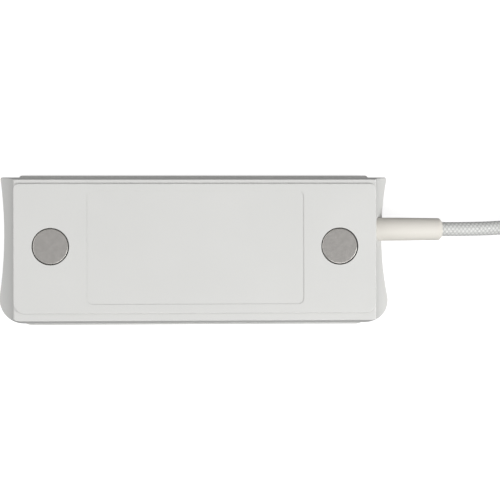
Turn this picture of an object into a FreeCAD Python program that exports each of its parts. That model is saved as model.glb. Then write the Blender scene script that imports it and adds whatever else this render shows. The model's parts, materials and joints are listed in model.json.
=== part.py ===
import FreeCAD, Part
import math
import os

import Sketcher
from FreeCAD import Placement, Rotation, Vector

# Wired door contact sensor, 104 mm long, with a braided lead and a 3.5 mm jack plug.
# It lies on its front face: Z = 0 is the front, +Z is the back that faces the steel it is fixed to,
# +X is the end that the lead leaves, and X = Y = 0 is the middle of the front.
# A flared housing ring is clamped between a front cover and a raised back cover by two screws,
# which hide under the two magnets that hold the sensor. A reed switch, which closes when the
# door's magnet comes near, a tamper switch and the lead's terminals are on one circuit board.

SIZES = {
    # front cover
    "front_length": 95.5,
    "front_half_width": 20.4,
    "front_rim": 3.6,
    "front_wall": 2.0,
    "front_edge_radius": 1.2,
    "front_low_radius": 3.5,
    "front_high_radius": 0.8,
    "land_inset": 1.6,
    "land_reach": 0.3,
    "lip_rise": 1.5,
    "lip_wall": 1.3,
    # housing ring with flared ends
    "housing_floor": 4.0,
    "ledge_level": 15.05,
    "housing_high": 19.85,
    "housing_low": 19.95,
    "housing_draft": 5.0,
    "heel_radius": 6.7,
    "waist_half": 51.8,
    "waist_radius": 115.0,
    "waist_rise": 4.5,
    "port_waist_half": 51.25,
    "port_waist_radius": 80.0,
    "port_waist_rise": 3.6,
    "port_heel_radius": 6.1,
    "corner_round": 0.5,
    "flare_start": 48.7,
    "flare_radius": 11.84,
    "flare_lip": 0.6,
    "ledge_round": 0.2,
    "cavity_half_length": 45.9,
    "cavity_high": 16.2,
    "cavity_low": 15.6,
    "cavity_radius": 2.0,
    "slip": 0.15,
    "weld": 0.1,
    "fit": 0.02,
    "wall_reach": 10.0,
    # back cover
    "plate_half_length": 48.6,
    "plate_high": 17.8,
    "plate_low": 17.0,
    "plate_radius": 1.5,
    "plate_low_radius": 3.0,
    "plate_top": 15.6,
    "plate_round": 0.25,
    "reveal": 0.08,
    "reveal_rise": 0.2,
    "middle_rise": 0.95,
    "label_length": 58.2,
    "label_width": 30.4,
    "label_radius": 1.6,
    "label_rise": 0.65,
    "label_sink": 0.16,
    "inner_drop": 1.2,
    "rail_half_length": 34.0,
    "rail_wall": 1.2,
    "rail_drop": 2.6,
    # magnets and case screws
    "magnet_spacing": 77.46,
    "magnet_radius": 4.75,
    "magnet_thick": 2.0,
    "magnet_chamfer": 0.25,
    "pocket_radius": 5.0,
    "pocket_sink": 2.25,
    "seat_radius": 6.2,
    "seat_bottom": 12.25,
    "boss_radius": 4.2,
    "boss_bottom": 10.6,
    "screw_radius": 1.25,
    "screw_head_radius": 2.2,
    "screw_head_rise": 1.25,
    "screw_tip": 4.5,
    "screw_gap": 0.15,
    "thread_gap": 0.03,
    "screw_end_gap": 0.25,
    "head_gap": 0.05,
    "slot_reach": 0.6,
    "slot_half": 0.12,
    "slot_level": 0.45,
    "presser_inset": 0.2,
    "post_radius": 2.8,
    # circuit board
    "board_half_length": 33.5,
    "board_high": 13.5,
    "board_low": 12.5,
    "board_bottom": 6.0,
    "board_top": 7.0,
    "board_radius": 1.0,
    "board_hole_gap": 0.3,
    "standoff_x": 30.0,
    "standoff_high": 10.6,
    "standoff_low": 9.8,
    "standoff_radius": 2.2,
    "board_screw_radius": 0.8,
    "board_screw_head": 1.7,
    "board_screw_rise": 1.2,
    "board_screw_tip": 3.2,
    # reed switch
    "reed_y": 9.8,
    "reed_level": 8.7,
    "glass_half_length": 7.0,
    "glass_radius": 1.2,
    "glass_bore": 0.85,
    "glass_seal": 1.5,
    "glass_shoulder": 0.6,
    "glass_taper": 0.4,
    "reed_lead_radius": 0.3,
    "reed_lead_reach": 10.5,
    "reed_foot_radius": 0.25,
    "reed_foot_inset": 0.4,
    "blade_width": 1.0,
    "blade_thick": 0.2,
    "blade_offset": 0.16,
    "blade_overlap": 0.5,
    "blade_root": 0.3,
    "blade_root_gap": 0.02,
    # tamper switch
    "tamper_x": -18.0,
    "tamper_y": -1.0,
    "tamper_side": 6.2,
    "tamper_top": 10.4,
    "plunger_radius": 1.7,
    "plunger_gap": 0.05,
    "plunger_bottom": 8.7,
    "plunger_top": 12.2,
    "plunger_room": 0.4,
    # status light
    "light_x": 22.0,
    "light_y": -6.0,
    "light_radius": 1.2,
    "light_flange": 1.9,
    "light_flange_rise": 0.8,
    "light_top": 5.1,
    "light_face": 0.1,
    "led_length": 1.6,
    "led_width": 0.8,
    "led_drop": 0.7,
    # line resistors and surge varistor
    "resistor_x": 2.0,
    "resistor_y": -5.0,
    "resistor_pitch": 4.0,
    "resistor_level": 8.3,
    "resistor_radius": 1.0,
    "resistor_length": 5.6,
    "resistor_reach": 4.6,
    "resistor_wire": 0.25,
    "varistor_x": -6.0,
    "varistor_y": -7.0,
    "varistor_radius": 2.4,
    "varistor_thick": 1.6,
    # terminals and conductors
    "header_x": 24.0,
    "header_length": 4.2,
    "header_width": 7.2,
    "header_rise": 4.2,
    "shell_length": 4.0,
    "shell_width": 5.8,
    "shell_rise": 3.2,
    "shell_lift": 0.5,
    "wire_radius": 0.4,
    "wire_pitch": 1.3,
    "wire_bundle": 0.55,
    # lead, its boot and its crimped ferrule
    "cable_radius": 1.9,
    "cable_y": 5.55,
    "cable_level": 9.4,
    "jacket_end": 42.6,
    "ferrule_start": 42.8,
    "ferrule_end": 43.8,
    "ferrule_radius": 2.5,
    "boot_flange_start": 43.9,
    "boot_flange_radius": 2.9,
    "boot_neck_radius": 2.4,
    "boot_seat": 47.6,
    "boot_base_radius": 3.17,
    "boot_tip_radius": 3.0,
    "boot_end": 67.3,
    "boot_chamfer": 0.9,
    "flange_gap": 0.05,
    # coil of the stored length, its tie and the plug lying on it
    "coil_x": 115.0,
    "coil_y": -16.85,
    "coil_lift": 0.5,
    "coil_mean_radius": 19.0,
    "coil_turns_in_layer": 2.5,
    "coil_layers": 4,
    "coil_round": 1.6,
    "tie_width": 9.0,
    "tie_turn": -60.0,
    "plug_x": 109.9,
    "plug_y": -5.4,
    "plug_heading": -3.0,
    "plug_boot_length": 8.5,
    "plug_boot_radius": 2.3,
    "plug_grip_length": 14.0,
    "plug_grip_radius": 4.0,
    "plug_round": 1.0,
    "plug_collar_radius": 3.3,
    "plug_collar_length": 1.2,
    "plug_collar_bevel": 0.3,
    "plug_boot_flare": 0.6,
    "jack_radius": 1.75,
    "jack_sleeve_length": 10.1,
    "jack_ring_length": 0.7,
    "jack_tip_length": 3.2,
    "jack_core_radius": 0.8,
    "jack_neck_radius": 1.1,
    "tip_shoulder": 0.7,
    "tip_neck": 1.3,
    "tip_bulge": 2.0,
    "tip_nose": 0.2,
}

# The lead's points from its boot to the coil. It droops to the table just past the boot.
LEAD_ROUTE = [
    (67.3, 5.55, 9.4),
    (75.8, 5.55, 9.4),
    (85.0, 5.95, 7.3),
    (94.8, 7.0, 4.1),
    (105.0, 7.4, 2.5),
    (115.0, 6.9, 2.4),
]

# The lead's points from the coil's last turn, up over it, to the plug that lies on top.
TAIL_ROUTE = [
    (99.734, -35.044, 13.8),
    (92.3, -28.8, 14.2),
    (89.8, -19.4, 15.7),
    (93.2, -10.2, 18.1),
    (101.611, -4.966, 19.7),
    (109.9, -5.4, 19.7),
]

doc = FreeCAD.newDocument("door_contact_sensor")
sheet = doc.addObject("Spreadsheet::Sheet", "sizes")
for row, (alias, number) in enumerate(SIZES.items(), start=1):
    sheet.set(f"A{row}", alias)
    sheet.set(f"B{row}", str(number))
    sheet.setAlias(f"B{row}", alias)
doc.recompute()

nodes = []


def cells(text):
    """The expression with each alias in it written as a cell of the sheet."""
    out = ""
    word = ""
    for sign in text + " ":
        if sign.isalnum() or sign in "_.":
            word += sign
            continue
        out += ("sizes." + word if word in SIZES else word) + sign
        word = ""
    return out.strip()


def value(text):
    """What an expression of the sheet's aliases comes to."""
    result = sheet.evalExpression(cells(str(text)))
    return float(getattr(result, "Value", result))


def bind(thing, path, text):
    thing.setExpression(path, cells(str(text)))


def keep(thing):
    """Marks a finished sub-part, which is then written to a file named by its label."""
    nodes.append(thing)
    return thing


# ---------------------------------------------------------------- sketches and features


def new_body(label, x="0", y="0", z="0"):
    body = doc.addObject("PartDesign::Body", label)
    body.Label = label
    for axis, text in zip("xyz", (x, y, z)):
        if text != "0":
            bind(body, f"Placement.Base.{axis}", text)
    return body


def new_sketch(body, name, role, offset="0"):
    """A sketch on one of the body's own origin planes, moved along the plane's normal."""
    sketch = body.newObject("Sketcher::SketchObject", f"{body.Label}_{name}")
    plane = next(part for part in body.Origin.OriginFeatures if part.Role == role)
    sketch.AttachmentSupport = [(plane, "")]
    sketch.MapMode = "FlatFace"
    if offset != "0":
        bind(sketch, "AttachmentOffset.Base.z", offset)
    return sketch


def fix_point(sketch, curve, end, x, y):
    """Holds a point of a curve at two expressions, measured from the sketch's origin."""
    for kind, text, axis in (("DistanceX", x, -2), ("DistanceY", y, -1)):
        number = value(text)
        if abs(number) < 1e-9:
            sketch.addConstraint(Sketcher.Constraint("PointOnObject", curve, end, axis))
            continue
        index = sketch.addConstraint(Sketcher.Constraint(kind, -1, 1, curve, end, number))
        bind(sketch, f"Constraints[{index}]", text)


def polygon(sketch, corners):
    """A closed outline of straight sides through corners given as pairs of expressions."""
    spots = [Vector(value(x), value(y), 0) for x, y in corners]
    first = sketch.GeometryCount
    count = len(spots)
    for i in range(count):
        sketch.addGeometry(Part.LineSegment(spots[i], spots[(i + 1) % count]), False)
    for i in range(count):
        following = first + (i + 1) % count
        sketch.addConstraint(Sketcher.Constraint("Coincident", first + i, 2, following, 1))
    for i, (x, y) in enumerate(corners):
        fix_point(sketch, first + i, 1, x, y)


def circle(sketch, x, y, radius):
    centre = Vector(value(x), value(y), 0)
    index = sketch.addGeometry(Part.Circle(centre, Vector(0, 0, 1), value(radius)), False)
    fix_point(sketch, index, 3, x, y)
    size = sketch.addConstraint(Sketcher.Constraint("Radius", index, value(radius)))
    bind(sketch, f"Constraints[{size}]", radius)


def rounded_outline(sketch, left, right, low, high, low_radius, high_radius):
    """A rectangle between four expressions, its lower and upper corners rounded apart."""
    x0, x1, y0, y1 = (value(text) for text in (left, right, low, high))
    r0, r1 = value(low_radius), value(high_radius)
    first = sketch.GeometryCount
    sides = [
        ((x0 + r0, y0), (x1 - r0, y0)),
        ((x1, y0 + r0), (x1, y1 - r1)),
        ((x1 - r1, y1), (x0 + r1, y1)),
        ((x0, y1 - r1), (x0, y0 + r0)),
    ]
    for start, stop in sides:
        sketch.addGeometry(Part.LineSegment(Vector(*start, 0), Vector(*stop, 0)), False)
    corners = [
        (x1 - r0, y0 + r0, r0),
        (x1 - r1, y1 - r1, r1),
        (x0 + r1, y1 - r1, r1),
        (x0 + r0, y0 + r0, r0),
    ]
    for i, (x, y, r) in enumerate(corners):
        start = math.radians(-90 + 90 * i)
        ring = Part.Circle(Vector(x, y, 0), Vector(0, 0, 1), r)
        sketch.addGeometry(Part.ArcOfCircle(ring, start, start + math.pi / 2), False)
    for i in range(4):
        sketch.addConstraint(Sketcher.Constraint("Tangent", first + i, 2, first + 4 + i, 1))
        following = first + (i + 1) % 4
        sketch.addConstraint(Sketcher.Constraint("Tangent", first + 4 + i, 2, following, 1))
        word = "Horizontal" if i % 2 == 0 else "Vertical"
        sketch.addConstraint(Sketcher.Constraint(word, first + i))
    held = [
        ("DistanceY", 0, low),
        ("DistanceX", 1, right),
        ("DistanceY", 2, high),
        ("DistanceX", 3, left),
    ]
    for kind, side, text in held:
        index = sketch.addConstraint(Sketcher.Constraint(kind, -1, 1, first + side, 1, value(text)))
        bind(sketch, f"Constraints[{index}]", text)
    for corner, text in enumerate((low_radius, high_radius, high_radius, low_radius)):
        index = sketch.addConstraint(Sketcher.Constraint("Radius", first + 4 + corner, value(text)))
        bind(sketch, f"Constraints[{index}]", text)


def pad(body, sketch, length, taper="0"):
    """A pad along the sketch's normal. It must add volume to the body."""
    feature = body.newObject("PartDesign::Pad", sketch.Name + "_pad")
    feature.Profile = sketch
    bind(feature, "Length", length)
    if taper != "0":
        bind(feature, "TaperAngle", taper)
    doc.recompute()
    return feature


def pocket(body, sketch, length="0", both=False, backwards=False):
    """A pocket, through everything when it has no length. It must take volume away."""
    before = body.Shape.Volume
    feature = body.newObject("PartDesign::Pocket", sketch.Name + "_cut")
    feature.Profile = sketch
    feature.Reversed = backwards
    if length == "0":
        feature.Type = "ThroughAll"
    else:
        bind(feature, "Length", length)
    if both:
        feature.Midplane = True
    doc.recompute()
    assert body.Shape.Volume < before - 1e-3, f"{feature.Name} cuts nothing"
    return feature


def revolve(body, sketch):
    """A full turn of a profile about the sketch's own horizontal axis."""
    feature = body.newObject("PartDesign::Revolution", sketch.Name + "_turn")
    feature.Profile = sketch
    feature.ReferenceAxis = (sketch, ["H_Axis"])
    feature.Angle = 360
    doc.recompute()
    return feature


def edges_where(shape, test):
    """Names of the edges whose middle point passes the test."""
    names = []
    for number, edge in enumerate(shape.Edges, start=1):
        middle = edge.valueAt((edge.FirstParameter + edge.LastParameter) / 2)
        if test(edge, middle):
            names.append(f"Edge{number}")
    return names


def fillet(body, base, test, radius, kind="Fillet"):
    feature = body.newObject(f"PartDesign::{kind}", f"{base.Name}_{kind.lower()}")
    feature.Base = (base, edges_where(base.Shape, test))
    bind(feature, "Radius" if kind == "Fillet" else "Size", radius)
    doc.recompute()
    return feature


def turned(label, corners, x="0", y="0", z="0"):
    """A body of revolution about X, from a half profile of (along, radius) pairs."""
    body = new_body(label, x, y, z)
    sketch = new_sketch(body, "profile", "XZ_Plane")
    polygon(sketch, corners)
    revolve(body, sketch)
    return body


# ---------------------------------------------------------------- primitives and booleans


def block(label, x, y, z, length, width, height):
    """A box with its lowest corner at x, y, z."""
    thing = doc.addObject("Part::Box", label)
    thing.Label = label
    for name, text in (("Length", length), ("Width", width), ("Height", height)):
        bind(thing, name, text)
    for axis, text in zip("xyz", (x, y, z)):
        bind(thing, f"Placement.Base.{axis}", text)
    return thing


def rod(label, x, y, z, radius, length, along="Z"):
    """A cylinder that starts at x, y, z and runs along an axis."""
    thing = doc.addObject("Part::Cylinder", label)
    thing.Label = label
    if along == "X":
        thing.Placement = Placement(Vector(), Rotation(Vector(0, 1, 0), 90))
    bind(thing, "Radius", radius)
    bind(thing, "Height", length)
    for axis, text in zip("xyz", (x, y, z)):
        bind(thing, f"Placement.Base.{axis}", text)
    return thing


def fuse(label, pieces):
    thing = doc.addObject("Part::MultiFuse", label)
    thing.Label = label
    thing.Shapes = pieces
    return thing


def cut(label, base, tool):
    thing = doc.addObject("Part::Cut", label)
    thing.Label = label
    thing.Base = base
    thing.Tool = tool
    return thing


def group(label, pieces):
    thing = doc.addObject("Part::Compound", label)
    thing.Label = label
    thing.Links = pieces
    return thing


# ---------------------------------------------------------------- shells


def front_cover():
    """The face panel with its rim, a lip inside the housing, screw posts and standoffs."""
    body = new_body("front_cover")
    face = new_sketch(body, "face", "XY_Plane")
    rounded_outline(
        face,
        "-front_length / 2",
        "front_length / 2",
        "-front_half_width",
        "front_half_width",
        "front_low_radius",
        "front_high_radius",
    )
    panel = pad(body, face, "front_rim")
    fillet(body, panel, lambda edge, middle: middle.z < 1e-6, "front_edge_radius")
    land = new_sketch(body, "land", "XY_Plane", "front_rim")
    rounded_outline(
        land,
        "-cavity_half_length - land_reach",
        "cavity_half_length + land_reach",
        "-front_half_width + land_inset",
        "front_half_width - land_inset",
        "front_low_radius",
        "front_high_radius",
    )
    pad(body, land, "housing_floor - front_rim")
    lip = new_sketch(body, "lip", "XY_Plane", "housing_floor")
    rounded_outline(
        lip,
        "-cavity_half_length + slip",
        "cavity_half_length - slip",
        "-cavity_low + slip",
        "cavity_high - slip",
        "cavity_radius - slip",
        "cavity_radius - slip",
    )
    pad(body, lip, "lip_rise")
    hollow = new_sketch(body, "hollow", "XY_Plane", "housing_floor + lip_rise")
    rounded_outline(
        hollow,
        "-cavity_half_length + slip + lip_wall",
        "cavity_half_length - slip - lip_wall",
        "-cavity_low + slip + lip_wall",
        "cavity_high - slip - lip_wall",
        "cavity_radius - lip_wall",
        "cavity_radius - lip_wall",
    )
    pocket(body, hollow, "housing_floor + lip_rise - front_wall")
    posts = new_sketch(body, "posts", "XY_Plane", "front_wall")
    for side in ("-", ""):
        circle(posts, f"{side}magnet_spacing / 2", "middle_rise", "post_radius")
    pad(body, posts, "boss_bottom - front_wall")
    standoffs = new_sketch(body, "standoffs", "XY_Plane", "front_wall")
    pilots = new_sketch(body, "pilots", "XY_Plane", "board_bottom")
    for x, y in standoff_places():
        circle(standoffs, x, y, "standoff_radius")
        circle(pilots, x, y, "board_screw_radius + thread_gap")
    pad(body, standoffs, "board_bottom - front_wall")
    pocket(body, pilots, "board_bottom - board_screw_tip + screw_end_gap")
    bores = new_sketch(body, "bores", "XY_Plane", "boss_bottom")
    for side in ("-", ""):
        circle(bores, f"{side}magnet_spacing / 2", "middle_rise", "screw_radius + thread_gap")
    pocket(body, bores, "boss_bottom - screw_tip + screw_end_gap")
    window = new_sketch(body, "window", "XY_Plane", "front_wall")
    circle(window, "light_x", "light_y", "light_radius + fit")
    pocket(body, window)
    return keep(body)


def standoff_places():
    """Where the circuit board is screwed down."""
    return [(x, y) for x in ("-standoff_x", "standoff_x") for y in ("-standoff_low", "standoff_high")]


def housing_outline(sketch):
    """The flared ring's outline: hollow ends, sharp upper corners and round lower ones."""
    top, base = value("housing_high"), value("housing_low")
    geometry, heels, corners = [], [], []
    for side, prefix in ((1, "port_"), (-1, "")):
        sweep, heel = value(f"{prefix}waist_radius"), value(f"{prefix}heel_radius")
        far, rise = value(f"{prefix}waist_half") + sweep, value(f"{prefix}waist_rise")
        near = far - math.sqrt((sweep + heel) ** 2 - (rise + base - heel) ** 2)
        reach = far - math.sqrt(sweep**2 - (top - rise) ** 2)
        lean = math.atan2(rise + base - heel, far - near)
        climb = math.atan2(top - rise, far - reach)
        waist_ring = Part.Circle(Vector(side * far, rise, 0), Vector(0, 0, 1), sweep)
        heel_ring = Part.Circle(Vector(side * near, heel - base, 0), Vector(0, 0, 1), heel)
        if side == 1:
            geometry.append(Part.ArcOfCircle(waist_ring, math.pi - climb, math.pi + lean))
            geometry.append(Part.ArcOfCircle(heel_ring, -math.pi / 2, lean))
        else:
            geometry.append(Part.ArcOfCircle(waist_ring, -lean, climb))
            geometry.append(Part.ArcOfCircle(heel_ring, math.pi - lean, 1.5 * math.pi))
        heels.append(side * near)
        corners.append(side * reach)
    geometry.append(Part.LineSegment(Vector(heels[1], -base, 0), Vector(heels[0], -base, 0)))
    geometry.append(Part.LineSegment(Vector(corners[0], top, 0), Vector(corners[1], top, 0)))
    right_waist, right_heel, left_waist, left_heel, bottom, upper = (
        sketch.addGeometry(curve, False) for curve in geometry
    )
    links = [
        ("Tangent", right_waist, 2, right_heel, 2),
        ("Tangent", right_heel, 1, bottom, 2),
        ("Tangent", bottom, 1, left_heel, 2),
        ("Tangent", left_heel, 1, left_waist, 1),
        ("Coincident", left_waist, 2, upper, 2),
        ("Coincident", upper, 1, right_waist, 1),
        ("Horizontal", bottom),
        ("Horizontal", upper),
    ]
    for link in links:
        sketch.addConstraint(Sketcher.Constraint(*link))
    for curve, text in (
        (right_waist, "port_waist_radius"),
        (left_waist, "waist_radius"),
        (right_heel, "port_heel_radius"),
        (left_heel, "heel_radius"),
    ):
        index = sketch.addConstraint(Sketcher.Constraint("Radius", curve, value(text)))
        bind(sketch, f"Constraints[{index}]", text)
    fix_point(sketch, right_waist, 3, "port_waist_half + port_waist_radius", "port_waist_rise")
    fix_point(sketch, left_waist, 3, "-waist_half - waist_radius", "waist_rise")
    for curve, text in ((bottom, "-housing_low"), (upper, "housing_high")):
        index = sketch.addConstraint(Sketcher.Constraint("DistanceY", -1, 1, curve, 1, value(text)))
        bind(sketch, f"Constraints[{index}]", text)


def cove(sketch, side):
    """The hollow at one end: a small lip leads from the ledge down into a large round."""
    hollow, lip, level = value("flare_radius"), value("flare_lip"), value("ledge_level")
    far = value("flare_start") + hollow
    near = far - math.sqrt((hollow + lip) ** 2 - lip**2)
    lean = math.atan2(lip, far - near)
    lip_ring = Part.Circle(Vector(side * near, level - lip, 0), Vector(0, 0, 1), lip)
    hollow_ring = Part.Circle(Vector(side * far, level, 0), Vector(0, 0, 1), hollow)
    if side == 1:
        join, free, sign = 1, 2, ""
        lip_arc = Part.ArcOfCircle(lip_ring, lean, math.pi / 2)
        hollow_arc = Part.ArcOfCircle(hollow_ring, math.pi + lean, 1.5 * math.pi)
    else:
        join, free, sign = 2, 1, "-"
        lip_arc = Part.ArcOfCircle(lip_ring, math.pi / 2, math.pi - lean)
        hollow_arc = Part.ArcOfCircle(hollow_ring, 1.5 * math.pi, 2 * math.pi - lean)
    corners = [
        Vector(side * far, level - hollow, 0),
        Vector(side * far, level + lip, 0),
        Vector(side * near, level + lip, 0),
        Vector(side * near, level, 0),
    ]
    lines = [Part.LineSegment(start, stop) for start, stop in zip(corners, corners[1:])]
    small, large, outer, upper, inner = (
        sketch.addGeometry(curve, False) for curve in [lip_arc, hollow_arc, *lines]
    )
    links = [
        ("Tangent", small, join, large, join),
        ("Coincident", large, free, outer, 1),
        ("Coincident", outer, 2, upper, 1),
        ("Coincident", upper, 2, inner, 1),
        ("Coincident", inner, 2, small, free),
        ("Vertical", outer),
        ("Horizontal", upper),
        ("Vertical", inner),
        ("Vertical", small, 3, small, free),
        ("Vertical", large, 3, large, free),
    ]
    for link in links:
        sketch.addConstraint(Sketcher.Constraint(*link))
    for curve, text in ((small, "flare_lip"), (large, "flare_radius")):
        index = sketch.addConstraint(Sketcher.Constraint("Radius", curve, value(text)))
        bind(sketch, f"Constraints[{index}]", text)
    fix_point(sketch, large, 3, f"{sign}(flare_start + flare_radius)", "ledge_level")
    for curve, end, text in ((small, 3, "ledge_level - flare_lip"), (upper, 1, "ledge_level + flare_lip")):
        index = sketch.addConstraint(Sketcher.Constraint("DistanceY", -1, 1, curve, end, value(text)))
        bind(sketch, f"Constraints[{index}]", text)


def housing():
    """The ring between the covers. Each end sweeps outwards in a hollow cove."""
    body = new_body("housing")
    outline = new_sketch(body, "outline", "XY_Plane", "housing_floor")
    housing_outline(outline)
    last = pad(body, outline, "ledge_level - housing_floor", "-housing_draft")
    ledge, middle_level = value("ledge_level"), (value("ledge_level") + value("housing_floor")) / 2
    high = value("housing_high")
    last = fillet(
        body,
        last,
        lambda edge, middle: abs(middle.z - middle_level) < 0.1 and middle.y > 0.9 * high,
        "corner_round",
    )
    fillet(body, last, lambda edge, middle: abs(middle.z - ledge) < 1e-4, "ledge_round")
    coves = new_sketch(body, "coves", "XZ_Plane")
    for side in (1, -1):
        cove(coves, side)
    pocket(body, coves, both=True)
    cavity = new_sketch(body, "cavity", "XY_Plane", "ledge_level")
    rounded_outline(
        cavity,
        "-cavity_half_length",
        "cavity_half_length",
        "-cavity_low",
        "cavity_high",
        "cavity_radius",
        "cavity_radius",
    )
    pocket(body, cavity)
    passage = new_sketch(body, "passage", "YZ_Plane", "boot_flange_start")
    circle(passage, "cable_y", "cable_level", "boot_neck_radius + fit")
    pocket(body, passage, "wall_reach", backwards=True)
    seat = new_sketch(body, "seat", "YZ_Plane", "boot_seat")
    circle(seat, "cable_y", "cable_level", "boot_base_radius + fit")
    pocket(body, seat, "wall_reach", backwards=True)
    return keep(body)


def back_cover():
    """The raised plate, thicker inside the housing, with its recess, pockets, bosses and rails."""
    body = new_body("back_cover")
    foot = new_sketch(body, "foot", "XY_Plane", "ledge_level")
    rounded_outline(
        foot,
        "-plate_half_length + reveal",
        "plate_half_length - reveal",
        "-plate_low + reveal",
        "plate_high - reveal",
        "plate_low_radius - reveal",
        "plate_radius - reveal",
    )
    pad(body, foot, "reveal_rise")
    plate = new_sketch(body, "plate", "XY_Plane", "ledge_level + reveal_rise")
    rounded_outline(
        plate,
        "-plate_half_length",
        "plate_half_length",
        "-plate_low",
        "plate_high",
        "plate_low_radius",
        "plate_radius",
    )
    slab = pad(body, plate, "plate_top - ledge_level - reveal_rise")
    top = value("plate_top")
    fillet(body, slab, lambda edge, middle: abs(middle.z - top) < 1e-4, "plate_round")
    label = new_sketch(body, "label", "XY_Plane", "plate_top")
    rounded_outline(
        label,
        "-label_length / 2",
        "label_length / 2",
        "label_rise - label_width / 2",
        "label_rise + label_width / 2",
        "label_radius",
        "label_radius",
    )
    pocket(body, label, "label_sink")
    seats = new_sketch(body, "seats", "XY_Plane", "seat_bottom")
    bosses = new_sketch(body, "bosses", "XY_Plane", "boss_bottom")
    pockets = new_sketch(body, "pockets", "XY_Plane", "plate_top")
    heads = new_sketch(body, "heads", "XY_Plane", "plate_top - pocket_sink")
    holes = new_sketch(body, "holes", "XY_Plane", "plate_top - pocket_sink")
    for side in ("-", ""):
        x = f"{side}magnet_spacing / 2"
        circle(seats, x, "middle_rise", "seat_radius")
        circle(bosses, x, "middle_rise", "boss_radius")
        circle(pockets, x, "middle_rise", "pocket_radius")
        circle(heads, x, "middle_rise", "screw_head_radius + screw_gap")
        circle(holes, x, "middle_rise", "screw_radius + screw_gap")
    pad(body, seats, "ledge_level + weld - seat_bottom")
    pad(body, bosses, "ledge_level + weld - boss_bottom")
    inner = new_sketch(body, "inner", "XY_Plane", "ledge_level - inner_drop")
    rounded_outline(
        inner,
        "-cavity_half_length + slip",
        "cavity_half_length - slip",
        "-cavity_low + slip",
        "cavity_high - slip",
        "cavity_radius - slip",
        "cavity_radius - slip",
    )
    pad(body, inner, "inner_drop + weld")
    rails = new_sketch(body, "rails", "XY_Plane", "ledge_level - rail_drop")
    for low, high in (
        ("cavity_high - slip - rail_wall", "cavity_high - slip"),
        ("-cavity_low + slip", "-cavity_low + slip + rail_wall"),
    ):
        corners = [
            ("-rail_half_length", low),
            ("rail_half_length", low),
            ("rail_half_length", high),
            ("-rail_half_length", high),
        ]
        polygon(rails, corners)
    pad(body, rails, "rail_drop + weld")
    presser = new_sketch(body, "presser", "XY_Plane", "plunger_top")
    circle(presser, "tamper_x", "tamper_y", "plunger_radius - presser_inset")
    pad(body, presser, "ledge_level + weld - plunger_top")
    pocket(body, pockets, "pocket_sink")
    pocket(body, heads, "screw_head_rise + head_gap")
    pocket(body, holes)
    return keep(body)


# ---------------------------------------------------------------- magnets and screws


def mounting_magnet(label, side):
    """A plated disc with a small chamfer at its outer edges."""
    body = new_body(label, f"{side}magnet_spacing / 2", "middle_rise", "plate_top - pocket_sink")
    disc = new_sketch(body, "disc", "XY_Plane")
    circle(disc, "0", "0", "magnet_radius")
    slug = pad(body, disc, "magnet_thick")
    fillet(body, slug, lambda edge, middle: len(edge.Vertexes) == 1, "magnet_chamfer", "Chamfer")
    return keep(body)


def screw(label, x, y, seat, tip, radius, head_radius, head_rise):
    """A cross-head screw pointing down, its head on the seat."""
    shank = rod(f"{label}_shank", x, y, tip, radius, f"{seat} - {tip}")
    head = rod(f"{label}_head", x, y, seat, head_radius, head_rise)
    blank = fuse(f"{label}_blank", [shank, head])
    arm = f"{head_radius} * slot_reach"
    slit = f"{head_radius} * slot_half"
    floor = f"{seat} + {head_rise} * slot_level"
    slots = [
        block(
            f"{label}_slot_{word}",
            f"{x} - {half_x}",
            f"{y} - {half_y}",
            floor,
            f"2 * {half_x}",
            f"2 * {half_y}",
            head_rise,
        )
        for word, half_x, half_y in (("x", arm, slit), ("y", slit, arm))
    ]
    return cut(label, blank, fuse(f"{label}_cross", slots))


def case_screws():
    seat = "(plate_top - pocket_sink - screw_head_rise)"
    pair = [
        screw(
            f"case_screw_{word}",
            f"{side}magnet_spacing / 2",
            "middle_rise",
            seat,
            "screw_tip",
            "screw_radius",
            "screw_head_radius",
            "screw_head_rise",
        )
        for word, side in (("left", "-"), ("right", ""))
    ]
    return keep(group("case_screws", pair))


def board_screws():
    four = [
        screw(
            f"board_screw_{i}",
            x,
            y,
            "board_top",
            "board_screw_tip",
            "board_screw_radius",
            "board_screw_head",
            "board_screw_rise",
        )
        for i, (x, y) in enumerate(standoff_places(), start=1)
    ]
    return keep(group("board_screws", four))


# ---------------------------------------------------------------- circuit board and what it carries


def circuit_board():
    body = new_body("circuit_board")
    outline = new_sketch(body, "outline", "XY_Plane", "board_bottom")
    rounded_outline(
        outline,
        "-board_half_length",
        "board_half_length",
        "-board_low",
        "board_high",
        "board_radius",
        "board_radius",
    )
    pad(body, outline, "board_top - board_bottom")
    holes = new_sketch(body, "holes", "XY_Plane", "board_top")
    for x, y in standoff_places():
        circle(holes, x, y, "board_screw_radius + board_hole_gap")
    pocket(body, holes)
    return keep(body)


def reed_glass():
    """A glass tube sealed round a flat lead at each end."""
    body = new_body("reed_glass", "0", "reed_y", "reed_level")
    tube = new_sketch(body, "tube", "XZ_Plane")
    inner = "glass_half_length - glass_seal"
    corners = [
        ("-glass_half_length", "reed_lead_radius + fit"),
        ("-glass_half_length", "glass_radius - glass_taper"),
        ("-glass_half_length + glass_shoulder", "glass_radius"),
        ("glass_half_length - glass_shoulder", "glass_radius"),
        ("glass_half_length", "glass_radius - glass_taper"),
        ("glass_half_length", "reed_lead_radius + fit"),
        (inner, "reed_lead_radius + fit"),
        (f"{inner} - glass_taper", "glass_bore"),
        (f"-({inner}) + glass_taper", "glass_bore"),
        (f"-({inner})", "reed_lead_radius + fit"),
    ]
    polygon(tube, corners)
    revolve(body, tube)
    return keep(body)


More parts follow.
